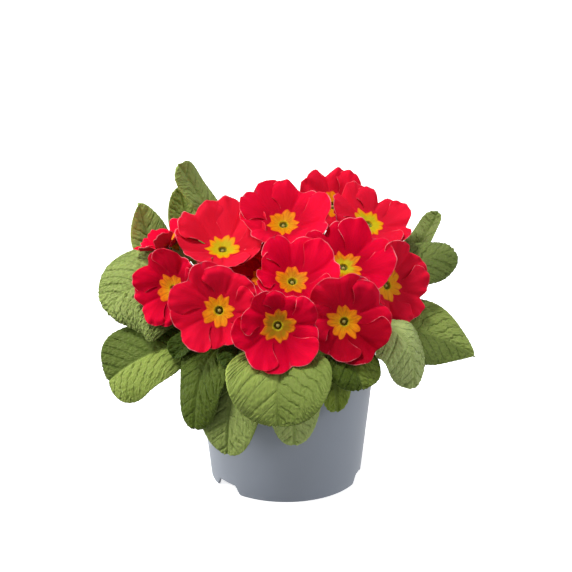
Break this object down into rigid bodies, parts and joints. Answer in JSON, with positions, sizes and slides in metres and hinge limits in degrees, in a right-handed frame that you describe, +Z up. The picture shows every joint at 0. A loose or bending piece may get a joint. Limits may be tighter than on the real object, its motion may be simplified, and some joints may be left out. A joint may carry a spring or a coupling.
{
  "type": "potted primrose",
  "caption": "primrose in bloom with red, yellow-eyed flowers over crinkled leaves that drape over a round tapered plastic nursery pot",
  "frame": {"origin": "middle of the pot's foot, on the surface that it stands on", "axes": "+Z up, -Y the front of the plant as seen, +X its right side"},
  "size_m": [0.2167, 0.1779, 0.1727],
  "materials": {
    "pot_plastic": "smooth grey-blue moulded polypropylene, soft sheen",
    "compost_earth": "moist dark peat compost, rough and crumbly",
    "stalk_green": "pale green downy stalks and calyces",
    "leaf_green": "matt crinkled leaf, paler ribs and yellow-green edges",
    "petal_red": "velvety red petal with a thin pale edge line",
    "eye_yellow": "orange-yellow star round a greenish throat"
  },
  "bodies": {
    "root": {"pot": "pot_plastic", "compost": "compost_earth", "crown_and_stalks": "stalk_green", "leaf_01": "leaf_green", "leaf_02": "leaf_green", "leaf_03": "leaf_green", "leaf_04": "leaf_green", "leaf_05": "leaf_green", "leaf_06": "leaf_green", "leaf_07": "leaf_green", "leaf_08": "leaf_green", "leaf_09": "leaf_green", "leaf_10": "leaf_green", "leaf_11": "leaf_green", "leaf_12": "leaf_green", "leaf_13": "leaf_green", "leaf_14": "leaf_green", "leaf_15": "leaf_green", "leaf_16": "leaf_green", "leaf_17": "leaf_green", "leaf_18": "leaf_green", "leaf_19": "leaf_green", "leaf_20": "leaf_green", "corolla_01": "petal_red", "corolla_02": "petal_red", "corolla_03": "petal_red", "corolla_04": "petal_red", "corolla_05": "petal_red", "corolla_06": "petal_red", "corolla_07": "petal_red", "corolla_08": "petal_red", "corolla_09": "petal_red", "corolla_10": "petal_red", "corolla_11": "petal_red", "corolla_12": "petal_red", "corolla_13": "petal_red", "corolla_14": "petal_red", "corolla_15": "petal_red", "corolla_16": "petal_red", "eye_01": "eye_yellow", "eye_02": "eye_yellow", "eye_03": "eye_yellow", "eye_04": "eye_yellow", "eye_05": "eye_yellow", "eye_06": "eye_yellow", "eye_07": "eye_yellow", "eye_08": "eye_yellow", "eye_09": "eye_yellow", "eye_10": "eye_yellow", "eye_11": "eye_yellow", "eye_12": "eye_yellow", "eye_13": "eye_yellow", "eye_14": "eye_yellow", "eye_15": "eye_yellow", "eye_16": "eye_yellow"}
  },
  "joints": []
}
